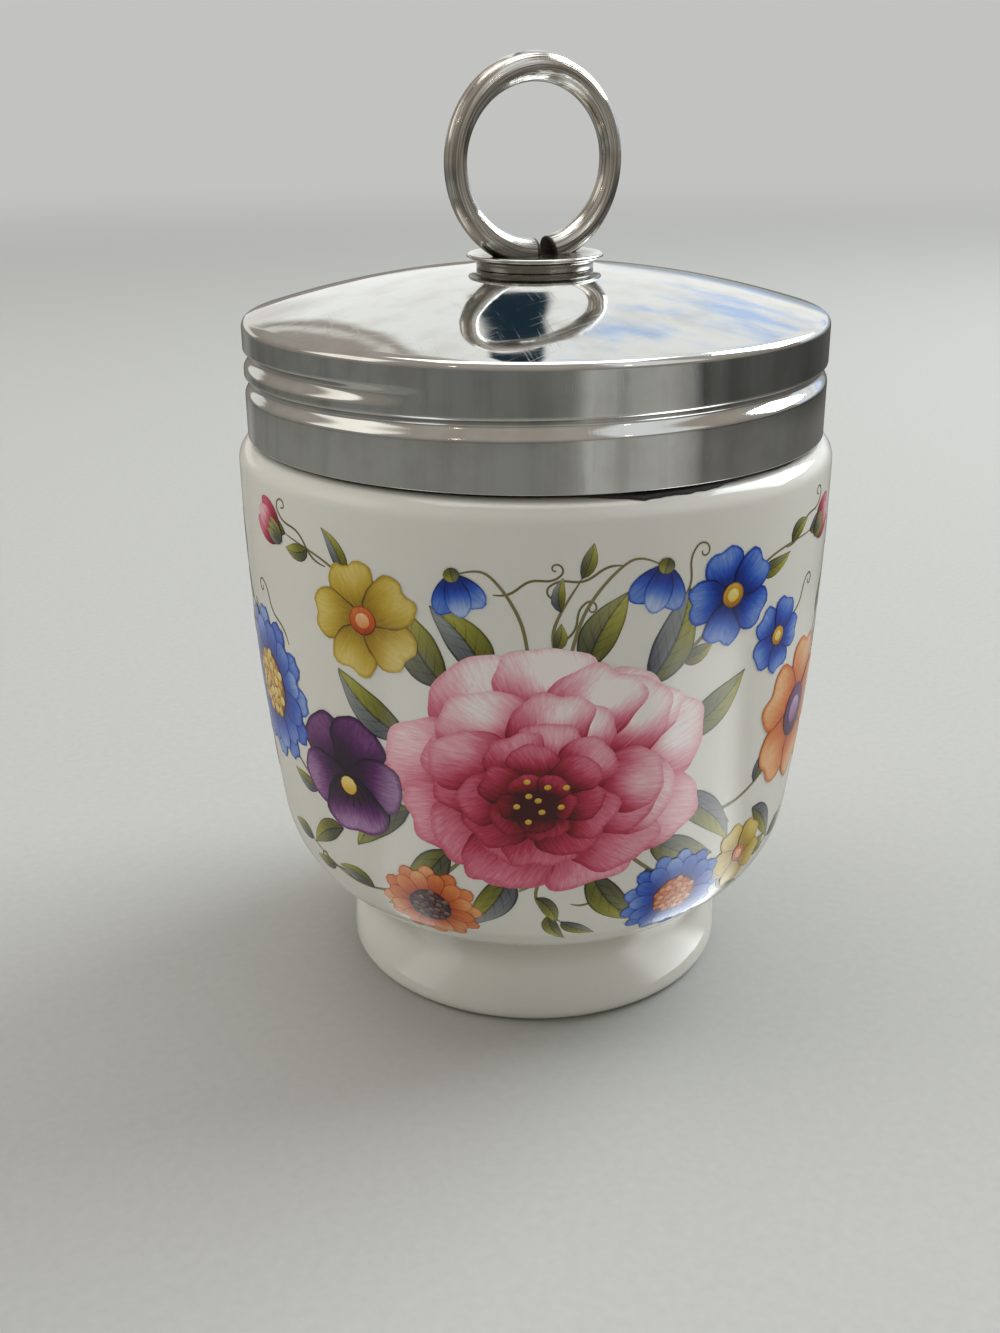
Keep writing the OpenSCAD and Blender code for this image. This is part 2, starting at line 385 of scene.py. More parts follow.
# %% [markdown]
# ### Boards round the foot
#
# The upright skirt mirrors what lies low round the pot, so a flat ring of card is painted for it in
# grey bands, each of which shows as a stripe down the skirt. The round bowl and the foot mirror the
# card's inner part instead, which is plain but for two bright patches. Only mirrored rays see the
# card: it lights nothing and throws no shadow.

# %% Boards on the floor
PLAIN_UP_TO, BANDS_FROM = 115, 150
card = Finish("grey_boards", Base_Color=(0, 0, 0, 1), Specular_IOR_Level=0.0, Emission_Strength=1.0)
x, y, z = place(card)
near, right_of = (x * away.x + y * away.y) * -1, x * side.x + y * side.y
turn = right_of.math("ARCTAN2", right_of, near) / 360 * DEGREES + 0.5
out = (x * x + y * y) ** 0.5
GREYS = [  # a place on the way round, from behind over left, front and right, and how light it is
    (0.0, 0.18), (0.05, 0.12), (0.09, 0.30), (0.12, 0.17), (0.20, 0.18), (0.28, 0.21),
    (0.36, 0.20), (0.43, 0.18), (0.50, 0.165), (0.53, 0.20), (0.55, 0.46), (0.60, 0.38),
    (0.63, 0.44), (0.66, 0.29), (0.672, 0.07), (0.69, 0.13), (0.705, 0.07), (0.74, 0.10),
    (0.80, 0.08), (0.84, 0.06), (1.0, 0.15)]
stops = [(at, (grey, grey * 0.99, grey * 0.93, 1)) for at, grey in GREYS]
bands = card.node("ValToRGB", {"stops": stops}, {0: turn})
streaks = between(0.45, 0.7, cloud(vector(turn * 46, out * 0.002, 0.0), 1.0, 3.0, 0.6))
bands = blend(streaks * 0.3, bands, (0.05, 0.06, 0.055, 1))
brighter = blend(between(350, 290, out) * 0.16, bands, (0.62, 0.60, 0.55, 1))
far_tone = blend(between(450, 1300, out), brighter, LOW_WALL)
right_patch = between(0.60, 0.64, turn) * between(0.73, 0.69, turn)
left_patch = between(0.34, 0.36, turn) * between(0.41, 0.39, turn)
near_tone = blend(right_patch + left_patch * 0.3, (0.36, 0.35, 0.33, 1), (3.0, 3.1, 3.1, 1))
card.feed("Emission Color", blend(between(PLAIN_UP_TO, BANDS_FROM, out), near_tone, far_tone))
boards = show("grey_boards", turned([(r, 0.4) for r in (24, 130, 600, 1200, 4500)], 96), card)
boards.visible_camera = boards.visible_diffuse = False
boards.visible_shadow = boards.visible_transmission = False

# %% [markdown]
# ## Porcelain
#
# Glazed porcelain is white clay under a thin layer of clear glass. The glass gives sharp
# reflections over a soft, slightly warm white, and it is never quite flat, so the reflections
# swim a little. In the turn between foot and bowl the white is painted greyer, as painted shade
# where the bowl hangs over the foot. The ring that the pot stands on is wiped before firing and
# stays bare and dull.

# %% Glazed porcelain
glaze = Finish("glazed_porcelain", Roughness=0.07, IOR=1.5,
               Subsurface_Weight=0.08, Subsurface_Scale=0.003)
x, y, z = place(glaze)
where = vector(x, y, z)
warm = cloud(where, 0.05, 2.0)
white = blend(warm, paint("eae6dc"), paint("e4e0d6"))
radius = (x * x + y * y) ** 0.5
bare = (1 - between(0.10, 0.35, z)) * between(17.8, 18.2, radius)
pores = between(0.45, 0.75, cloud(where, 2.5, 3.0))
clay = blend(pores, paint("ddd6c6"), paint("c9bfab"))
# Painted shade: the white is greyed in the turn between foot and bowl, under the bowl's overhang.
painted_turn_shade = between(6.0, 9.6, z) * between(14.0, 10.0, z)
white = blend(painted_turn_shade * 0.6, white, paint("b3ae9f"))
glaze.feed("Base Color", blend(bare, white, clay))
glaze.feed("Roughness", 0.07 + cloud(where, 0.4, 2.0) * 0.03 + bare * 0.5)
swimming = cloud(where, 0.09, 1.0)
bump(swimming + bare * pores * -0.02, 0.25 * MM, 0.35)


# %% [markdown]
# ## Turning the pot
#
# The pot's section is five lines that run into each other: the foot, the round bowl, the long wall
# that is drawn in a little, the shoulder, and the neck with its screw thread. The CAD solid has the
# same section in coarser steps, which would show as bands in the glaze, so the pot is turned again
# with short steps.

# %% The pot's section
wall_r, wall_top_z, sweep_r = 31.3, 58.8, 300.0
bowl_r, waist = 13.0, (20.9, 9.7)
shoulder_z, shoulder_round = 61.0, 2.2
neck_r, bore_r, rim_z, neck_round = 28.5, 25.4, 70.9, 1.5
foot_r, foot_neck_r, foot_neck_z, foot_round, foot_inner_r = 21.45, 20.65, 7.9, 1.5, 18.2
recess_r, recess_h, recess_round = 17.3, 5.8, 1.6
floor_z, floor_round = 11.0, 11.0

wall_c = Vector((wall_r - sweep_r, wall_top_z))
reach = Vector(waist) - wall_c
centre_far = sweep_r - bowl_r
along = (centre_far ** 2 - bowl_r ** 2 + reach.length_squared) / (2 * reach.length)
aside = math.sqrt(centre_far ** 2 - along ** 2)
bowl_c = wall_c + (reach * along + Vector((-reach.y, reach.x)) * aside) / reach.length
wall_a = math.degrees(math.atan2(bowl_c.y - wall_c.y, bowl_c.x - wall_c.x))
bowl_a = math.degrees(math.atan2(waist[1] - bowl_c.y, waist[0] - bowl_c.x))
print(f"the bowl's turn has its centre {bowl_c.x:.2f} mm out and {bowl_c.y:.2f} mm up")

outside = arc(bowl_c, bowl_r, bowl_a, wall_a, 2) + arc(wall_c, sweep_r, wall_a, 0, 0.25)[1:]
foot_rise, foot_drop = foot_neck_z - foot_round, foot_r - foot_neck_r
foot_sweep = (foot_rise ** 2 + foot_drop ** 2) / (2 * foot_drop)
foot_lean = math.degrees(math.asin(foot_rise / foot_sweep))

foot_section = (
    [(0, recess_h + 0.5)]
    + arc((recess_r - recess_round, recess_h - recess_round), recess_round, 90, 0, 6)
    + [(recess_r + 0.3, 0.9), (foot_inner_r - 0.25, 0.12)]
    + [(foot_inner_r, 0.02), (foot_inner_r + 0.25, 0)]
    + line((foot_inner_r + 0.5, 0), (foot_r - foot_round, 0), 3)
    + arc((foot_r - foot_round, foot_round), foot_round, -90, 0, 5)
    + arc((foot_r - foot_sweep, foot_round), foot_sweep, 0, foot_lean, foot_lean / 12)[1:]
    + [(foot_neck_r + 0.02, 8.25), (foot_neck_r + 0.06, 8.7), (foot_neck_r + 0.14, 9.2)])
pot_section = (
    foot_section + outside
    + arc((wall_r - shoulder_round, wall_top_z), shoulder_round, 0, 90, 4)[1:]
    + line((neck_r + 0.25, shoulder_z), (neck_r, shoulder_z + 0.25), 2)
    + line((neck_r, shoulder_z + 0.25), (neck_r, rim_z - neck_round), 60)
    + arc((neck_r - neck_round, rim_z - neck_round), neck_round, 0, 90, 6)
    + arc((bore_r + neck_round, rim_z - neck_round), neck_round, 90, 180, 6)[1:]
    + line((bore_r, 68), (bore_r - 0.4, floor_z + floor_round), 24)
    + arc((bore_r - floor_round - 0.4, floor_z + floor_round), floor_round, 0, -90, 4)
    + [(0, floor_z)])
print("the pot's section has", len(pot_section), "points")

# %% [markdown]
# ## The screw thread
#
# A thread is a helix: its height grows by one pitch for each turn. Here the neck is already a fine
# net of points, so the thread is made by moving each point outwards by how near it lies to the
# helix. A helix of the same pitch is rolled into the lid's skirt as a groove later on, so the
# numbers of both stand here.

# %% Neck thread
PITCH, NECK_THREAD_DEPTH, LID_THREAD_DEPTH = 2.6, 0.8, 0.65
lid_thread_z, lid_start, lid_end = 65.8, 131.0, 131.0 + 450.0
neck_thread_z, neck_start, neck_end = lid_thread_z + 0.48 * PITCH, -75.0, -75.0 + 414.0


def near_helix(point, base, start, end):
    """For each pass of the helix at the point's azimuth: height over it in mm, and its strength."""
    azimuth = math.degrees(math.atan2(point.y, point.x))
    for turn in range(-1, 3):
        a = azimuth + 360 * turn
        if start <= a <= end:
            strength = smooth(0, 28, min(a - start, end - a))
            yield point.z / MM - (base + PITCH * a / 360), strength


def push_out(point, distance):
    """Moves a point away from the axis by a distance in mm."""
    r = math.hypot(point.x, point.y)
    point.x, point.y = point.x * (1 + distance * MM / r), point.y * (1 + distance * MM / r)


pot = turned(pot_section, 224)
for vert in pot.verts:
    on_neck = vert.co.z > (shoulder_z + 0.3) * MM
    if on_neck and math.hypot(vert.co.x, vert.co.y) > (neck_r - 0.1) * MM:
        for over, strength in near_helix(vert.co, neck_thread_z, neck_start, neck_end):
            ridge = 1 - smooth(0.22, 0.78, abs(over))
            push_out(vert.co, NECK_THREAD_DEPTH * strength * ridge)
cup = show("pot_body", pot, glaze)
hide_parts("cup")
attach(cup, "pot")

# %% [markdown]
# ## Chrome
#
# The lid is thin sheet, plated with chrome. Chrome is a mirror, a little darker than silver. Years
# of washing leave hair-fine scratches that show only where a lamp is mirrored, so they are put
# into the roughness and a very shallow bump, not into the colour. Each scratch is a noise that is
# stretched about a hundredfold along one direction.

# %% Chrome for lid, collar and ring
def hairs(coords, turn, fine, low=0.62):
    """Thin long scratches in one direction across the XY plane."""
    x, y, z = coords
    c, s = math.cos(math.radians(turn)), math.sin(math.radians(turn))
    along, across = x * c + y * s, y * c - x * s
    stretched = vector(along * 0.06, across * fine, z * 0.5)
    return between(low, low + 0.1, cloud(stretched, 1.0, 2.0, 0.6))


def chrome(name, colour, roughness, grime_and_shade=None):
    """Bright plating with scratches in four directions, a faint haze, and grime and painted shade
    if given.
    """
    finish = Finish(name, Metallic=1.0, Roughness=roughness)
    coords = place(finish)
    where = vector(*coords)
    wear = hairs(coords, 12, 5.0) + hairs(coords, 74, 6.0, 0.64)
    wear = wear + hairs(coords, 131, 4.0, 0.65) * 0.7 + hairs(coords, 160, 8.0) * 0.5
    haze = between(0.4, 0.75, cloud(where, 0.25, 3.0))
    dull = roughness + wear * 0.05 + haze * 0.035
    tint = blend(haze, paint(colour), paint("c9c8c4"))
    # Darkens and dulls the plating by the given mask, which is partly grime and partly painted
    # shade.
    if grime_and_shade:
        dirt_and_shade = grime_and_shade(*coords)
        tint, dull = blend(dirt_and_shade, tint, paint("615b4f")), dull + dirt_and_shade * 0.22
    finish.feed("Base Color", tint)
    finish.feed("Roughness", dull)
    bump(cloud(where, 0.16, 1.0) - wear * 0.02, 0.09 * MM, 0.5)
    return finish


lid_chrome = chrome("lid_chrome", "d6d7d5", 0.045)


# %% [markdown]
# ## Spinning the lid
#
# The real lid is pressed and spun from one sheet less than half a millimetre thick: a shallow dome,
# a tight edge, a straight skirt, and a thread that is rolled in from outside. It is made in that
# order: the outside is turned as a single surface, the thread is pressed into it, and only then
# does the sheet get its thickness, so the inside follows the groove as it does in metal.

# %% Lid
skirt_r, skirt_z, edge_z, edge_round = 30.2, 61.42, 72.35, 0.8
land_z, land_r, sheet_t = 77.4, 7.3, 0.45
edge_c = (skirt_r - edge_round, edge_z)
dome_far = edge_c[0] + edge_round * 0.27
dome_drop = land_z - (edge_z + edge_round * 0.96)
dome_r = ((dome_far ** 2 - land_r ** 2) / dome_drop + dome_drop) / 2
dome_h = land_z - math.sqrt(dome_r ** 2 - land_r ** 2)
dome = [(r, dome_h + math.sqrt(dome_r ** 2 - r ** 2))
        for r in (dome_far + (land_r - dome_far) * i / 40 for i in range(41))]
lid_section = ([(skirt_r, skirt_z)] + line((skirt_r, skirt_z + 0.06), (skirt_r, edge_z), 104)
               + arc(edge_c, edge_round, 0, 66, 6)
               + dome[1:] + [(land_r - 0.4, land_z), (4.5, land_z), (2.06, land_z)])


def groove(over):
    """Depth of the rolled groove, 1 at its deepest: steep above, an easy slope below."""
    return 1 - smooth(-0.1, 0.72, over) if over > -0.1 else 1 - smooth(0.05, 1.35, -over)


lid = turned(lid_section, 256)
for vert in lid.verts:
    if vert.co.z < (edge_z - 0.1) * MM:
        pressed = 0
        for over, strength in near_helix(vert.co, lid_thread_z, lid_start, lid_end):
            pressed = max(pressed, strength * groove(over))
        push_out(vert.co, -LID_THREAD_DEPTH * pressed)
lid_skin = show("lid_dome_and_skirt", lid, lid_chrome)
sheet = lid_skin.modifiers.new("sheet", "SOLIDIFY")
sheet.thickness, sheet.offset = sheet_t * MM, -1
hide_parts("lid_shell")
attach(lid_skin, "lid")
print(f"the dome is part of a ball of {dome_r:.0f} mm radius")

# %% [markdown]
# ## Collar and ring
#
# The collar is a small disc on a narrower neck. Its stem goes through the sheet and is spread over
# a washer inside. The ring is a piece of wire bent round until its blunt ends nearly meet, sunk
# into the collar with the gap at the bottom. In the collar's hollow the chrome is dulled and
# browned by grime, and the same dark brown is painted as shade under the disc, beside the wire and
# on the wire's ends and bottom.

# %% Collar
collar_z = land_z + 0.02
head_z = collar_z - 1.71
head_r, stem_r, waist_r, disc_r = 2.9, 2.0, 6.0, 7.0
collar_section = (
    [(0, head_z), (head_r - 0.15, head_z), (head_r, head_z + 0.19), (head_r - 0.05, head_z + 0.49)]
    + [(head_r - 0.3, head_z + 0.6), (stem_r, head_z + 0.6), (stem_r, collar_z - 0.02)]
    + line((stem_r + 0.1, collar_z), (waist_r - 0.05, collar_z), 4)
    + [(waist_r - 0.05, collar_z), (waist_r, collar_z + 0.06)]
    + arc((waist_r + 0.4, collar_z + 0.6), 0.4, 180, 90, 10) + [(disc_r - 0.22, collar_z + 1.02)]
    + arc((disc_r - 0.23, collar_z + 1.26), 0.23, -80, 85, 12)
    + [(6.5, collar_z + 1.46), (6.1, collar_z + 1.38), (5.3, collar_z + 1.32)]
    + [(4.0, collar_z + 1.3), (0, collar_z + 1.3)])


def collar_grime_and_shade(x, y, z):
    """Grime and painted shade: 0 on the disc's rim, painted shade under the disc, grime in its
    hollow, and painted shade strongest beside the wire.
    """
    far, up = (x * x + y * y) ** 0.5, z - collar_z
    shade_under_disc = between(6.8, 6.5, far) * between(1.1, 1.0, up)
    patchy = cloud(vector(x, y, z), 0.7, 3.0)
    hollow = between(6.9, 5.2, far) * between(1.1, 1.2, up) * (0.35 + patchy * 0.5)
    shade_beside_wire = between(3.6, 1.2, y.math("ABSOLUTE", y)) * 0.5
    return shade_under_disc * 0.65 + hollow * (0.75 + shade_beside_wire)


collar_chrome = chrome("collar_chrome", "cfcdc8", 0.07, collar_grime_and_shade)
collar = show("collar_disc", turned(collar_section, 128), collar_chrome)
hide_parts("collar")
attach(collar, "lid")

# %% Ring
wire_d, ring_r, gap, gap_turn = 2.85, 8.85, 9.0, 4.5
side_out, side_thinner = 0.18, 0.2
ring_z = land_z + 0.1 + wire_d / 2 + ring_r


def bent_wire():
    """A circle carried round the ring's own axis, stopping short of a full turn, with blunt ends.
    At the ring's two sides the wire is thinner and stands out a little, as in the picture."""
    bm = bmesh.new()
    start = math.radians(-90 + gap_turn + gap / 2)
    turn_up = Matrix.Rotation(math.pi / 2, 4, "X")
    bmesh.ops.create_circle(bm, segments=28, radius=wire_d / 2 * MM,
                            matrix=Matrix.Translation((ring_r * MM, 0, 0)) @ turn_up)
    bmesh.ops.rotate(bm, verts=bm.verts[:], cent=(0, 0, 0), matrix=Matrix.Rotation(start, 3, "Z"))
    bmesh.ops.spin(bm, geom=bm.verts[:] + bm.edges[:], cent=(0, 0, 0), axis=(0, 0, 1),
                   angle=math.radians(360 - gap), steps=150)
    caps = bmesh.ops.holes_fill(bm, edges=bm.edges[:], sides=64)["faces"]
    rims = list({edge for face in caps for edge in face.edges})
    bmesh.ops.bevel(bm, geom=rims, offset=0.22 * MM, offset_type="OFFSET", affect="EDGES",
                    segments=3, profile=0.5, material=-1)
    for vert in bm.verts:
        aim = Vector((vert.co.x, vert.co.y, 0)).normalized()
        middle = aim * (ring_r + side_out * aim.x ** 2) * MM
        vert.co = middle + (vert.co - aim * ring_r * MM) * (1 - side_thinner * aim.x ** 2)
    bmesh.ops.rotate(bm, verts=bm.verts[:], cent=(0, 0, 0),
                     matrix=Matrix.Rotation(math.pi / 2, 3, "X"))
    bmesh.ops.translate(bm, verts=bm.verts[:], vec=(0, 0, ring_z * MM))
    bmesh.ops.recalc_face_normals(bm, faces=bm.faces[:])
    return bm


ring_chrome = Finish("ring_chrome", Metallic=1.0, Roughness=0.1)
x, y, z = place(ring_chrome)
up = z - ring_z
out = (x * x + up * up) ** 0.5 - ring_r
tube = y.math("ARCTAN2", y, out)
round_it, from_top = up.math("ARCTAN2", up, x), x.math("ARCTAN2", x, up)
drawn = cloud(vector(tube * 5.0, from_top * 0.7, out * 0.2), 1.0, 3.0, 0.6)
knocks = between(0.6, 0.72, cloud(vector(x, y, z), 0.8, 3.0))
# Painted shade with some grime: the wire is darkened at its blunt ends beside the gap and along its
# bottom where it sinks into the collar.
off = round_it - math.radians(gap_turn - 90)
shaded_end_out, shaded_end_in = math.radians(gap / 2 + 4), math.radians(gap / 2 + 1)
grime_and_shade = between(shaded_end_out, shaded_end_in, off.math("ABSOLUTE", off)) + between(-6.8, -8.2, up) * 0.5
metal = blend(between(0.4, 0.62, drawn), paint("dbd9d4"), paint("a09b91"))
ring_chrome.feed("Base Color", blend(grime_and_shade, metal, paint("3a342b")))
worn = between(0.45, 0.7, drawn) * 0.1 + knocks * 0.06
ring_chrome.feed("Roughness", 0.06 + worn + grime_and_shade * 0.3)
bump(drawn - knocks * 0.1, 0.11 * MM, 0.5)
ring = show("lifting_wire", bent_wire(), ring_chrome)
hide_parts("lifting_ring")
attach(ring, "lid")

# %% [markdown]
# ## Seal and washer
#
# The rubber ring under the skirt has gone hard. It lies back under the skirt nearly all round and
# bulges out at one side only, where it shows as a ragged black line. The washer inside the dome is
# plain zinc-plated steel and keeps its CAD shape; only its finish is made here.

# %% Seal
rubber = Finish("perished_rubber", Roughness=0.75)
where = vector(*place(rubber))
chalk = between(0.45, 0.8, cloud(where, 0.9, 4.0, 0.65))
rubber.feed("Base Color", blend(chalk, paint("1b1917"), paint("3d3934")))
rubber.feed("Roughness", 0.62 + chalk * 0.25)
bump(cloud(where, 2.2, 4.0, 0.7), 0.2 * MM, 0.8)

seal_r, seal_edge, seal_low, seal_top = 28.6, 29.35, 61.0, 61.4
seal_round = (seal_edge - 0.15, (seal_low + seal_top) / 2)
seal_section = ([(seal_r, seal_low + 0.02), (seal_r, seal_top - 0.02), (seal_r + 0.3, seal_top)]
                + [(seal_round[0], seal_top)] + arc(seal_round, 0.19, 80, -80, 20)
                + [(seal_round[0], seal_low), (seal_r + 0.3, seal_low), (seal_r, seal_low + 0.02)])
seal = turned(seal_section, 360)
for vert in seal.verts:
    off = (math.degrees(math.atan2(vert.co.y, vert.co.x)) - front + 180) % 360 - 180
    swollen = smooth(3, 18, off) * (1 - 0.6 * smooth(30, 36, off)) * (1 - smooth(74, 88, off))
    ragged = noise.noise(vert.co * 330) * 0.6 + noise.noise(vert.co * 1100) * 0.25
    r = math.hypot(vert.co.x, vert.co.y) / MM
    if r > seal_r + 0.35:
        push_out(vert.co, swollen * (0.95 + 0.5 * ragged) + 0.05 * ragged)
        r = math.hypot(vert.co.x, vert.co.y) / MM
        fall = shoulder_z - (wall_top_z + math.sqrt(shoulder_round ** 2 - max(0, r - 29.1) ** 2))
        vert.co.z -= (fall + 0.1 * swollen * max(0, r - 29.6)) * MM
seal_ring = show("seal_ring", seal, rubber)
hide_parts("seal")
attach(seal_ring, "pot")

# %% Washer
steel = Finish("zinc_steel", Metallic=1.0, Roughness=0.4)
spangle = cloud(vector(*place(steel)), 1.4, 3.0)
steel.feed("Base Color", blend(spangle, paint("a9a9a4"), paint("8b8b86")))
steel.feed("Roughness", 0.32 + spangle * 0.25)
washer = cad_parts["washer"]
washer.data.materials.clear()
washer.data.materials.append(steel.material)

# %% [markdown]
# ## Flowers on the glaze
#
# The pot is decorated with fired flower prints. Each petal is laid down as its own little patch of
# colour, three hundredths of a millimetre thick, in the order in which a painter would lay it:
# stems, leaves, back petals, front petals, hearts. The pattern is a made-up garland of common
# garden flowers that runs round the pot.
#
# A patch starts as a grid. The grid's square is first pressed into a disc, then the disc into the
# petal's outline, and the petal is laid on the wall. Its UV map keeps the disc's coordinates, so
# the shader knows at any point how far it is from the rim, and its `tone` says how light the
# painter made that point.

# %% The drawing board on the wall
climb = [0.0]
for a, b in zip(outside, outside[1:]):
    climb.append(climb[-1] + math.dist(a, b))
wall_radii, wall_heights = zip(*outside)
UNDERLAY, LAYER = 0.02, 0.0048
print(f"the painted wall is {climb[-1]:.1f} mm from foot to shoulder, measured along its curve")


class Board:
    """A sheet laid on the wall: x to the right and y up in mm from its own middle."""

    def __init__(self, azimuth, height, turn=0.0, squash=1.0, level=0):
        self.azimuth = math.radians(front + azimuth)
        self.middle = float(np.interp(height, wall_heights, climb))
        self.turn, self.squash, self.level = math.radians(turn), squash, level

    def flat(self, x, y):
        """From the board's own x and y to x and y along the wall."""
        y *= self.squash
        c, s = math.cos(self.turn), math.sin(self.turn)
        return x * c - y * s, x * s + y * c

    def lay(self, x, y, level):
        """The point of space for x and y, a layer higher off the glaze for each level."""
        x, y = self.flat(x, y)
        s = min(max(self.middle + y, 0.3), climb[-1] - 0.3)
        r, z = np.interp(s, climb, wall_radii), np.interp(s, climb, wall_heights)
        r2, z2 = np.interp(s + 0.2, climb, wall_radii), np.interp(s + 0.2, climb, wall_heights)
        slope = Vector((z2 - z, r - r2)).normalized()
        lift = UNDERLAY + LAYER * (self.level + level)
        a = self.azimuth + x / r
        r, z = r + slope.x * lift, z + slope.y * lift
        return Vector((r * math.cos(a), r * math.sin(a), z)) * MM


# %% One petal
prints = {}
patch_count = 0
CELL, MOST_CELLS = 0.75, 18


def lay_grid(board, colour, cells, shape, seed, wide, level):
    """Lays a grid on the wall, in the bmesh that collects every patch of one colour. For a point
    of the grid, from -1 to 1 each way, shape gives its place on the board, in the disc, and its
    tone."""
    if colour not in prints:
        prints[colour] = bmesh.new()
        prints[colour].loops.layers.uv.new("UVMap")
        for layer in ("tone", "seed", "wide"):
            prints[colour].verts.layers.float.new(layer)
    bm = prints[colour]
    made = bmesh.ops.create_grid(bm, x_segments=cells[0], y_segments=cells[1], size=1.0)["verts"]
    uv = bm.loops.layers.uv.active
    layers = [bm.verts.layers.float[name] for name in ("tone", "seed", "wide")]
    disc = {}
    for vert in made:
        (x, y), disc[vert], tone = shape(vert.co.x, vert.co.y)
        vert[layers[0]], vert[layers[1]], vert[layers[2]] = tone, seed, wide
        vert.co = board.lay(x, y, level)
    for face in {face for vert in made for face in vert.link_faces}:
        for loop in face.loops:
            x, y = disc[loop.vert]
            loop[uv].uv = (x / 2 + 0.5, y / 2 + 0.5)


def patch(board, colour, warp, tone, wide, tall, level):
    """A grid pressed into a disc, warped by warp(x, y) and laid on the wall."""
    global patch_count
    patch_count += 1

    def shape(a, b):
        x, y = a * math.sqrt(1 - b * b / 2), b * math.sqrt(1 - a * a / 2)
        return warp(x, y), (x, y), tone(x, y)

    cells = [max(3, min(MOST_CELLS, round(side / CELL))) for side in (wide, tall)]
    lay_grid(board, colour, cells, shape, patch_count * 1.37 % 40, wide, level)


def petal(board, colour, aim, start, length, width, lean=0.0, sharp=0.0, notch=0.0, bend=0.0,
          ruffle=0.0, tones=(0.2, 0.8), glow=0.0, side_light=0.0, level=0, at=(0, 0)):
    """A petal from start mm out, length mm long, in the direction aim in degrees."""
    seed = patch_count * 2.4

    def warp(x, y):
        angle = math.atan2(y, x)
        rim = (x * x + y * y) ** 2
        waves = math.sin(5 * angle + seed) + 0.6 * math.sin(9 * angle + 2 * seed)
        swell = 1 + ruffle * rim * waves
        half = width / 2 * (1 - y * y) ** sharp * (1 + lean * y) * swell
        run = start + length * (0.5 + 0.5 * y * swell)
        run -= notch * length * math.exp(-(x / 0.28) ** 2) * smooth(0.2, 1.0, y)
        turn = math.radians(aim + bend * (y + 1) / 2)
        side = x * half
        return (at[0] + run * math.cos(turn) + side * math.sin(turn),
                at[1] + run * math.sin(turn) - side * math.cos(turn))

    def tone(x, y):
        light = glow * math.exp(-((x - 0.15) ** 2 + (y - 0.25) ** 2) / 0.22)
        return tones[0] + (tones[1] - tones[0]) * smooth(-0.7, 0.9, y) + light + side_light * x

    patch(board, colour, warp, tone, width, length, level)


def dot(board, colour, x, y, size, tone, level):
    """A round touch of the brush, lighter at its top."""
    patch(board, colour, lambda u, v: (x + u * size / 2, y + v * size / 2),
          lambda u, v: tone + 0.15 * v, size, size, level)


# %% [markdown]
# ### Stems, leaves and tendrils
#
# A stem is a grid too, one cell wide, bent along a curve through a few points. A leaf is a petal
# with pointed ends, one side of it greyer than the other, as the light falls on a folded blade.

# %% Stems and leaves
def curve(points, count=9):
    """Points on a smooth curve through the given ones, count of them for each stretch."""
    p = [points[0]] + list(points) + [points[-1]]
    made = []
    for i in range(len(points) - 1):
        a, b, c, d = (Vector(q) for q in p[i:i + 4])
        for k in range(count):
            t = k / count
            made.append(0.5 * (2 * b + (c - a) * t + (2 * a - 5 * b + 4 * c - d) * t * t
                               + (3 * b - a - 3 * c + d) * t ** 3))
    return made + [Vector(points[-1])]


def stroke(board, colour, points, wide, level=0, tone=0.5, taper=0.3):
    """A brush line through the points, thinner towards its end."""
    path = curve(points)
    steps = len(path) - 1

    def shape(a, b):
        i = round((b + 1) / 2 * steps)
        way = (path[min(i + 1, steps)] - path[max(i - 1, 0)]).normalized()
        share = i / steps
        narrowed = taper + (1 - taper) * math.cos(share * math.pi / 2)
        half = wide / 2 * narrowed * min(1, 0.4 + 6 * share)
        return path[i] + Vector((way.y, -way.x)) * a * half, (a * 0.6, b * 0.7), tone

    lay_grid(board, colour, (1, steps), shape, 3.1, wide, level)


def leaf(board, x, y, aim, length, width, bend, level):
    petal(board, "leaf", aim, 0, length, width, lean=-0.25, sharp=0.42, bend=bend, ruffle=0.015,
          tones=(0.25, 0.7), level=level, at=(x, y))


def sprig(board, points, leaves, size, level=0):
    """A stem with leaves on alternating sides and one at its end."""
    stroke(board, "stem", points, 0.42, level)
    path = curve(points)
    for k in range(leaves):
        i = round((k + 1) / (leaves + 1) * (len(path) - 1))
        way = path[min(i + 1, len(path) - 1)] - path[i - 1]
        side = 1 if k % 2 else -1
        aim = math.degrees(math.atan2(way.y, way.x)) + side * 48
        leaf(board, path[i].x, path[i].y, aim, size * (0.85 + 0.2 * (k % 3)), size * 0.42,
             bend=-side * 25, level=level + 1)
    way = path[-1] - path[-3]
    aim = math.degrees(math.atan2(way.y, way.x))
    leaf(board, path[-1].x, path[-1].y, aim, size * 1.1, size * 0.45, bend=12, level=level + 1)


def tendril(board, x, y, aim, length, hand=1, level=0):
    """A thin line that wavers and then winds into a small loop."""
    points, at, turn = [], Vector((x, y)), math.radians(aim)
    steps = 44
    for i in range(steps):
        points.append(at.copy())
        share = i / steps
        turn += hand * (0.13 * math.sin(share * 15) + 0.40 * smooth(0.58, 0.66, share))
        at += Vector((math.cos(turn), math.sin(turn))) * length / steps * (1.3 - 0.75 * share)
    stroke(board, "stem", points[::2] + [points[-1]], 0.24, level, tone=0.42, taper=0.55)


# %% [markdown]
# ### The flowers
#
# Five simple recipes make the garland. The big one is a double bloom: rings of broad petals from
# pale outside to nearly black red inside, each ring turned against the last. The small ones have
# five petals or a wheel of narrow ones round a dotted heart.

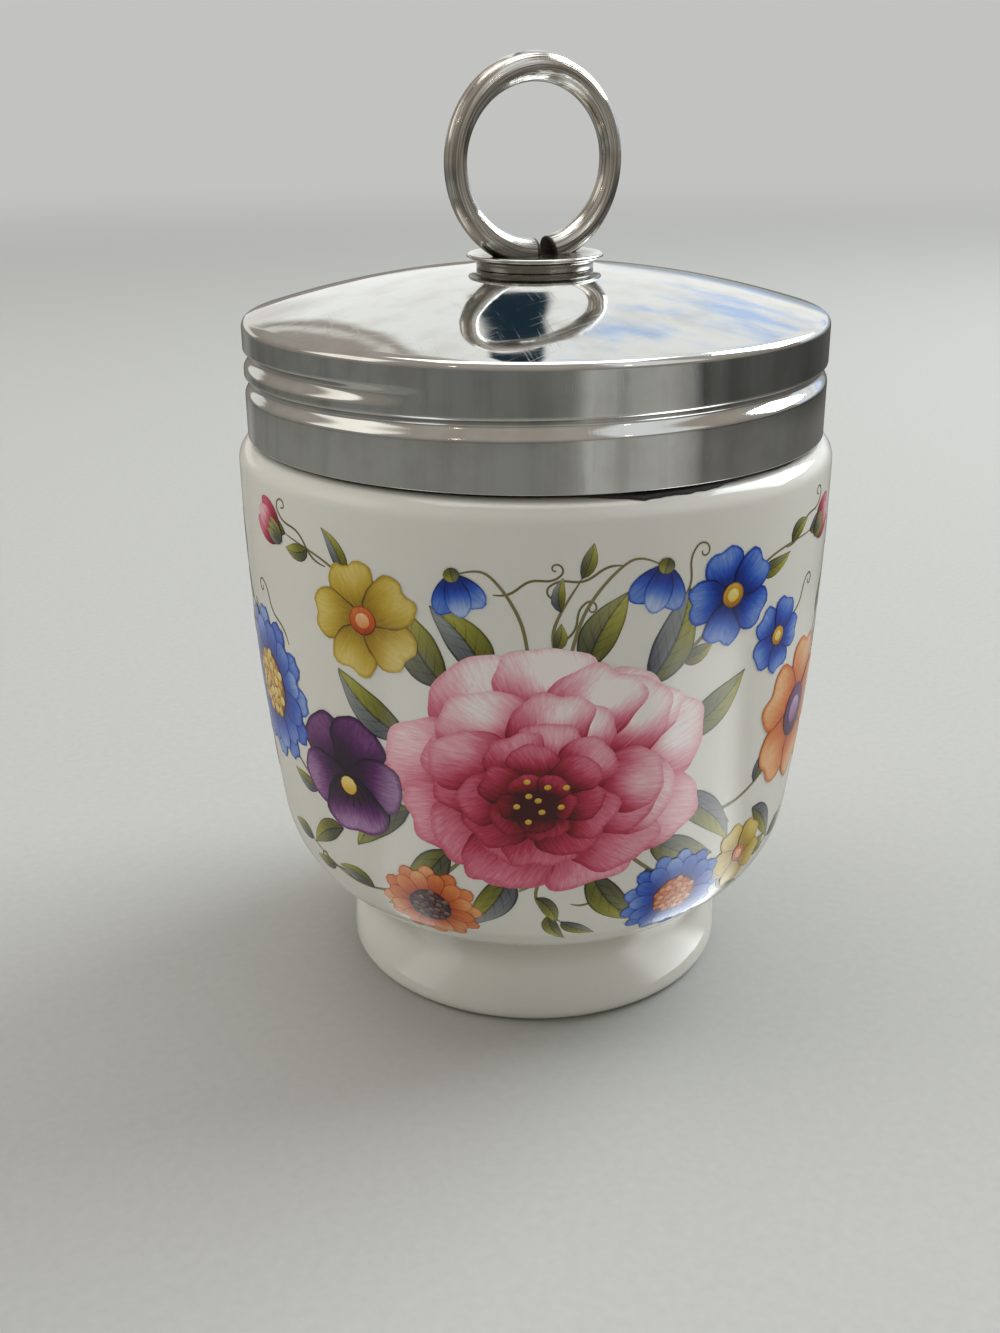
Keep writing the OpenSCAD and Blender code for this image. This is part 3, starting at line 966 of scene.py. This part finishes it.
# %% Flower recipes
def double_bloom(board, size, colour="rose"):
    """A full double flower, size mm across, lit from the upper right, seen from a little above."""
    r = size / 2
    rings = [  # for each ring: petals, start, length, width, darkest and lightest tone, glow
        (9, 0.30, 0.74, 0.66, 0.26, 0.80, 0.20), (8, 0.21, 0.70, 0.60, 0.16, 0.76, 0.22),
        (8, 0.13, 0.60, 0.51, 0.08, 0.68, 0.18), (7, 0.09, 0.47, 0.42, 0.02, 0.56, 0.12),
        (6, 0.06, 0.34, 0.31, -0.04, 0.42, 0.05), (5, 0.02, 0.23, 0.23, -0.10, 0.28, 0.0)]
    for k, (count, start, length, width, dark, light, glow) in enumerate(rings):
        for i in range(count):
            aim = 360 * i / count + 23 * k + 7 * math.sin(3 * i + k)
            facing, side = math.cos(math.radians(aim - 55)), math.sin(math.radians(aim - 55))
            swing = 1 + 0.09 * math.sin(5 * i + 2 * k)
            over = 1 if i == count - 1 and count % 3 == 1 else i % 3  # so that neighbours differ
            petal(board, colour, aim, start * r, length * r * swing, width * r, lean=0.22,
                  notch=0.06 * (i % 2), bend=9 * (-1) ** i, ruffle=0.04,
                  tones=(dark + 0.04 * facing, light + 0.15 * facing), glow=glow * (1 + facing),
                  side_light=0.16 * side, level=3 * k + over,
                  at=(-0.022 * k * r, -0.035 * k * r))
    for i in range(9):
        a, d = i * 2.4, 0.07 * r * math.sqrt(i)
        x, y = d * math.cos(a) - 0.11 * r, d * math.sin(a) - 0.17 * r
        dot(board, "gold", x, y, 0.045 * r, 0.5, 18)


def five_petals(board, colour, size, eye="gold", tones=(0.15, 0.75), turn=0.0, eye_size=0.24):
    """An open flower of five broad petals."""
    r = size / 2
    for i in range(5):
        petal(board, colour, turn + 72 * i + 90, 0.04 * r, 0.96 * r, 0.82 * r, lean=0.3,
              notch=0.12, ruffle=0.03, tones=tones, glow=0.15, level=2 * i)
    dot(board, eye, 0, 0, eye_size * size, 0.35, 11)
    dot(board, eye, 0, 0, eye_size * size * 0.55, 0.75, 12)


def wheel(board, colour, size, petals, heart, narrow=0.2, tones=(0.2, 0.75), heart_size=0.4):
    """A daisy's wheel: two rows of narrow petals round a heart of many dots."""
    r, dots = size / 2, 34
    for row in range(2):
        for i in range(petals):
            aim = 360 * (i + 0.5 * row) / petals
            petal(board, colour, aim, 0.18 * r, (0.82 - 0.14 * row) * r, narrow * size, lean=0.25,
                  notch=0.07, tones=(tones[0], tones[1] - 0.1 * (i % 3)), level=6 * row + i % 5)
    dot(board, heart, 0, 0, heart_size * size, 0.2, 14)
    for i in range(dots):
        a, d = i * 2.39996, heart_size * r * 0.93 * math.sqrt((i + 0.5) / dots)
        dot(board, heart, d * math.cos(a), d * math.sin(a), 0.075 * size * heart_size * 2,
            0.45 + 0.3 * (i % 3) / 2, 16)


def pansy(board, size, colour="violet"):
    """Two upper petals behind, two side petals and a broad lip, with dark lines round the eye."""
    r = size / 2
    petals = [  # aim, length, width, darkest and lightest tone
        (122, 1.0, 0.95, 0.05, 0.5), (58, 1.0, 0.95, 0.02, 0.45), (192, 0.95, 0.85, 0.1, 0.7),
        (-12, 0.95, 0.85, 0.08, 0.65), (270, 1.0, 1.15, 0.0, 0.75)]
    for k, (aim, length, width, dark, light) in enumerate(petals):
        petal(board, colour, aim, 0, length * r, width * r, lean=0.25, ruffle=0.03, glow=0.12,
              tones=(dark, light), notch=0.1 if k == 4 else 0.0, level=3 * k)
    for i in range(-3, 4):
        petal(board, "ink", 270 + i * 16, 0.12 * r, (0.42 - 0.03 * abs(i)) * r, 0.06 * r,
              sharp=0.4, tones=(0.4, 0.3), level=16)
    petal(board, "gold", 270, 0.02 * r, 0.3 * r, 0.3 * r, tones=(0.8, 0.5), level=18)


def bell(board, size, colour="blue"):
    """A nodding bell on a curved stalk, seen from the side."""
    r = size / 2
    petals = [(-112, 0.62, 0.55), (-68, 0.62, 0.7), (-90, 0.6, 0.85)]
    for k, (aim, width, light) in enumerate(petals):
        petal(board, colour, aim, 0, 1.5 * r, width * r * 1.5, lean=0.12, sharp=0.1,
              bend=(aim + 90) * 0.5, tones=(0.1, light), glow=0.1, level=2 * k + 3)
    petal(board, "leaf", -90, -0.25 * r, 0.5 * r, 0.55 * r, tones=(0.3, 0.6), level=12)


def bud(board, size, aim):
    """A closed bloom in its green cup."""
    for k, (off, light) in enumerate([(-16, 0.5), (16, 0.65), (0, 0.85)]):
        petal(board, "rose", aim + off, 0.1 * size, 0.85 * size, 0.5 * size, lean=-0.05, sharp=0.12,
              tones=(0.1, light), glow=0.1, level=k)
    for off in (-34, 0, 34):
        leaf(board, 0, 0, aim + off, 0.55 * size, 0.2 * size, bend=-off * 0.6, level=5)


# %% [markdown]
# ### The garland
#
# The flowers are set out by azimuth, from the middle of the view and positive to the right, and by
# height over the table. Stems and leaves come first and lie lowest.

# %% Where things go
LEAVES = [  # x, y of the foot, then aim, length, width, bend; mm from the big bloom's middle
    (13, 3, 12, 10, 3.7, 20), (13, -4, -18, 11, 3.5, -24), (11, -8, -46, 9, 3.7, 18),
    (5, -11, -76, 9.5, 3.6, 22), (-3, -11, -104, 9, 3.6, -18), (-9, -9, -134, 9.5, 3.9, 16),
    (-13, -5, -160, 9.5, 3.5, 22), (-13, 3, 166, 10, 3.9, -22), (-9, 9, 138, 9, 4.3, -18),
    (-5, 10, 108, 9, 3.8, 20), (4, 11, 78, 8.5, 3.6, -16), (10, 9, 46, 10, 4.3, 20),
    (-22, -10, 196, 7, 2.6, 20), (25, -9, -30, 7.5, 2.6, -22), (40, 3, 40, 8, 3.0, 22),
    (-42, 6, 150, 8, 3.0, -20), (-40, -4, 200, 8, 3.0, 22), (39, -7, -40, 8, 3.2, -24)]
STEMS = [  # the points of a stem, its number of leaves and their size
    ([(-9, 9), (-15, 14), (-21, 19), (-28, 21)], 4, 4.4),
    ([(10, 8), (17, 14), (24, 19), (32, 20)], 4, 4.4),
    ([(12, -4), (20, -7), (28, -4), (33, 0)], 3, 4.6),
    ([(-12, -4), (-21, -8), (-29, -4), (-35, 2)], 3, 4.6),
    ([(8, -9), (14, -14), (22, -16.5), (30, -15)], 4, 4.2),
    ([(-7, -9), (-12, -14), (-20, -16.5), (-28, -14)], 4, 4.2),
    ([(1, -9), (-0.5, -14), (2, -17.5)], 3, 4.0), ([(2, 10), (1, 15), (3.5, 20)], 2, 3.2),
    ([(33, 2), (40, 11), (44, 18)], 4, 4.4), ([(-34, 5), (-41, 13), (-45, 19)], 4, 4.4),
    ([(33, -2), (41, -9), (44, -15)], 4, 4.2), ([(-34, 2), (-41, -8), (-44, -13)], 4, 4.2)]
TENDRILS = [  # x, y, aim, length, hand
    (-11, 12, 118, 14, 1), (-22, 19, 172, 13, -1), (12.5, 14, 96, 13, -1), (27, 19.5, 2, 13, 1),
    (21, -16, -20, 11, 1), (-19, -16, 200, 11, -1), (37, -3, -8, 12, 1), (-38, 2, 170, 12, -1),
    (3, -15, -20, 8, 1), (-29, 9, 112, 12, 1), (28, 10, 70, 11, -1), (-4.5, 18.5, -4, 10, 1),
    (7.5, 21, 172, 11, 1), (1, 12, 84, 10, -1)]
STALKS = [[(-1, 10), (-2, 16), (-5, 20.4), (-8.2, 20.2)],
          [(2, 10), (4, 17), (8, 21.4), (11.4, 20.6)]]


# %% Lay out the garland
BLOOM_HEIGHT, DEGREES_PER_MM = 34, 1.85


def spray(middle, flip=1):
    """One half of the garland, about a big bloom. The other half is its mirror image."""
    def spot(x, y, turn=0.0, squash=1.0, level=0):
        azimuth = middle + flip * x * DEGREES_PER_MM
        board = Board(azimuth, BLOOM_HEIGHT, turn * flip, squash, level)
        board.middle += y
        return board

    def mirrored(aim):
        return aim if flip == 1 else 180 - aim

    ground = spot(0, 0)
    for points, leaves, size in STEMS:
        sprig(ground, [(x * flip, y) for x, y in points], leaves, size)
    for x, y, aim, length, width, bend in LEAVES:
        leaf(ground, x * flip, y, mirrored(aim), length, width, bend=bend * flip, level=3)
    for x, y, aim, length, hand in TENDRILS:
        tendril(ground, x * flip, y, mirrored(aim), length, hand=hand * flip)
    for points in STALKS:
        stroke(ground, "stem", [(x * flip, y) for x, y in points], 0.36, level=2)

    double_bloom(spot(1, 0, 10, 0.87, 5), 31)
    five_petals(spot(-17.5, 14.5, 10, 0.94, 10), "yellow", 13, "orange", (0.25, 0.72), 8)
    pansy(spot(-21.5, -3, 8, 0.97, 9), 14.5)
    wheel(spot(-12.5, -16.5, 0, 0.92, 9), "orange", 11.5, 12, "ink", 0.17)
    five_petals(spot(19, 16.5, 0, 0.95, 10), "blue", 11, "gold", (0.05, 0.6), 20)
    five_petals(spot(26.5, 10.5, 0, 1, 9), "blue", 8.5, "gold", (0.1, 0.62), 50)
    wheel(spot(15.5, -16, 0, 0.92, 10), "blue", 12.5, 13, "orange", 0.16, (0.1, 0.7))
    five_petals(spot(25, -14, 0, 1, 8), "yellow", 8.5, "orange", (0.3, 0.75), 33)
    five_petals(spot(33.5, 0, 0, 1.05, 9), "orange", 16.5, "violet", (0.3, 0.78), -12, 0.34)
    wheel(spot(-35, 3, 0, 1.05, 9), "blue", 17, 12, "gold", 0.19, (0.05, 0.72), 0.42)
    bell(spot(-8.2, 20.2, 14, 1, 6), 5.6)
    bell(spot(11.4, 20.6, -16, 1, 6), 6.2)
    bud(spot(-28.5, 20, 0, 1, 6), 5.6, mirrored(150))
    bud(spot(33, 19.4, 0, 1, 6), 5.6, mirrored(20))


spray(0)
spray(180, -1)
five_petals(Board(90, 41, 0, 1, 8), "violet", 12.5, "gold", (0.0, 0.6), 12)
wheel(Board(90, 20, 0, 0.95, 8), "yellow", 10.5, 13, "orange", 0.16)
five_petals(Board(-90, 38, 0, 1, 8), "yellow", 12.5, "orange", (0.25, 0.75), 30)
five_petals(Board(-90, 18, 0, 0.95, 8), "blue", 9.5, "gold", (0.1, 0.62), 5)
print(patch_count, "patches in", len(prints), "colours")


# %% [markdown]
# ### Fired colours
#
# One recipe makes every print colour: the tone picks a place on a ramp from shadow to light, fine
# brush lines run along the petal, and the rim is drawn a little darker. Leaves get ribs, too, and
# one half of the blade greyer than the other. The prints have nearly the same gloss as the glaze.

# %% Print finishes
RAMPS = {
    "rose": ("3f0309", "8a0c20", "bb3350", "da7289", "efb4bd", "fbf0ec"),
    "blue": ("0b1a52", "17399a", "2f5cc0", "6489d2", "a5b9e2", "dfe5f3"),
    "yellow": ("543a08", "8f6f17", "b8962b", "ceb045", "e0ca74", "f1e6b4"),
    "violet": ("170520", "3a1040", "5b2360", "845086", "b48db5", "dfd0de"),
    "orange": ("641a05", "a83a10", "cf6426", "df8a48", "edb57e", "f6dcbc"),
    "leaf": ("2f2c08", "565412", "7d7b25", "a29d42", "c1bd75", "dfdcb0"),
    "stem": ("2e260c", "4d4420", "6d6436", "8d855a", "aca582", "cbc6ad"),
    "gold": ("6a3d05", "a66d12", "cf9c2c", "e5c04f", "f1da85", "f9efc4"),
    "ink": ("140610", "2a0f1c", "3f1d22", "5e3a33", "84655a", "b3a094"),
}
RIMS = {"rose": 0.10, "leaf": 0.30}


def print_finish(name):
    """The finish of one print colour, by its name in RAMPS."""
    finish = Finish("print_" + name, Roughness=0.1, IOR=1.5)
    uv = finish.node("UVMap")
    x, y = (finish.node("SeparateXYZ", None, {0: uv}, out=axis) * 2 - 1 for axis in "XY")
    tone, seed, wide = (finish.node("Attribute", {"attribute_name": key}, out="Fac")
                        for key in ("tone", "seed", "wide"))
    lines = cloud(vector(x * wide * 2.2, y * wide * 0.35, seed), 1.0, 3.0, 0.62)
    rim = between(0.72, 1.0, x * x + y * y) * RIMS.get(name, 0.3)
    value = tone + (lines - 0.5) * 0.34 - rim
    if name == "leaf":
        bow = x.math("ABSOLUTE", x)
        ribs = between(0.8, 0.97, x.math("FRACT", y * 3.2 - bow * 1.6 + 8)) * (1 - bow)
        midrib = 1 - between(0.03, 0.09, bow)
        value = value - ribs * 0.2 - midrib * 0.22 - between(0.05, -0.05, x) * 0.14
    stops = [(i / (len(RAMPS[name]) - 1), paint(shade)) for i, shade in enumerate(RAMPS[name])]
    colour = finish.node("ValToRGB", {"stops": stops}, {0: value})
    if name == "leaf":
        greyer = between(0.5, 0.6, x.math("FRACT", seed * 0.41)) * 0.5 + 0.2
        greys = [(0.0, paint("30374a")), (1.0, paint("c3c9d8"))]
        grey = finish.node("ValToRGB", {"stops": greys}, {0: value})
        colour = blend(between(0.02, -0.06, x) * greyer, colour, grey)
    finish.feed("Base Color", colour)
    return finish


# %% Show the prints
for colour, bm in prints.items():
    bmesh.ops.recalc_face_normals(bm, faces=bm.faces[:])
    for face in bm.faces:
        if face.normal.dot(face.calc_center_median() * Vector((1, 1, 0))) < 0:
            face.normal_flip()
    for edge in bm.edges:
        edge.smooth = not edge.is_boundary
    layer = show("print_" + colour, bm, print_finish(colour))
    film = layer.modifiers.new("film", "SOLIDIFY")
    film.thickness, film.offset = 0.03 * MM, -1
    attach(layer, "pot")
